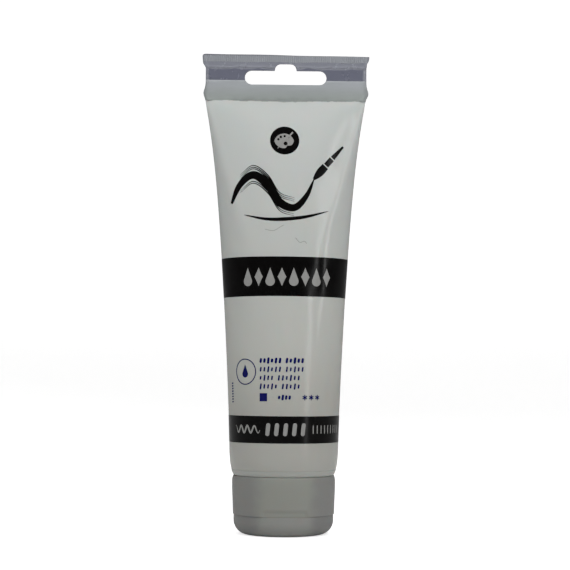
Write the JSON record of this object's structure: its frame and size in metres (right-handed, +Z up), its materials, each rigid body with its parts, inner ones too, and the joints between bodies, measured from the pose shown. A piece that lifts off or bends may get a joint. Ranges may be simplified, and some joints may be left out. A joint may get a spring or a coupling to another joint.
{
  "type": "paint tube",
  "caption": "Upright squeeze tube of white artist's paint with a crimped hanging end and a screw-on flip-top cap that it stands on.",
  "frame": {"origin": "centre of the flat standing face of the lid, on the tube's long axis", "axes": "+Z up the tube from the lid to the crimped end, X across the flat crimped end, -Y the printed front face, +Y the back with the lid's hinge"},
  "size_m": [0.0624, 0.04, 0.177],
  "materials": {
    "sleeve": "glossy soft polyethylene, white with paint behind it",
    "clear_tab": "clear glossy polyethylene, two layers pressed together",
    "crimp": "clear polyethylene, finely ribbed by the sealing jaws",
    "shoulder": "natural moulded polyethylene",
    "seal": "laminated foil",
    "paint": "wet white acrylic paste",
    "cap": "frosted natural polypropylene, see-through grey",
    "lid": "frosted natural polypropylene, see-through grey"
  },
  "bodies": {
    "tube": {"tube_sleeve": "sleeve", "hang_tab": "clear_tab", "crimp_band": "crimp", "shoulder_neck": "shoulder", "neck_seal": "seal", "paint_fill": "paint"},
    "cap": {"cap_base": "cap", "hinge_film": "cap"},
    "lid": {"cap_lid": "lid"}
  },
  "joints": [
    {"name": "cap_unscrew", "type": "hinge", "parent": "tube", "child": "cap", "pos_m": [0, 0, 0.0143], "axis": [0, 0, -1], "range_deg": [0, 540]},
    {"name": "lid_flip", "type": "hinge", "parent": "cap", "child": "lid", "pos_m": [0, 0.0176, 0.00735], "axis": [1, 0, 0], "range_deg": [0, 160]}
  ]
}
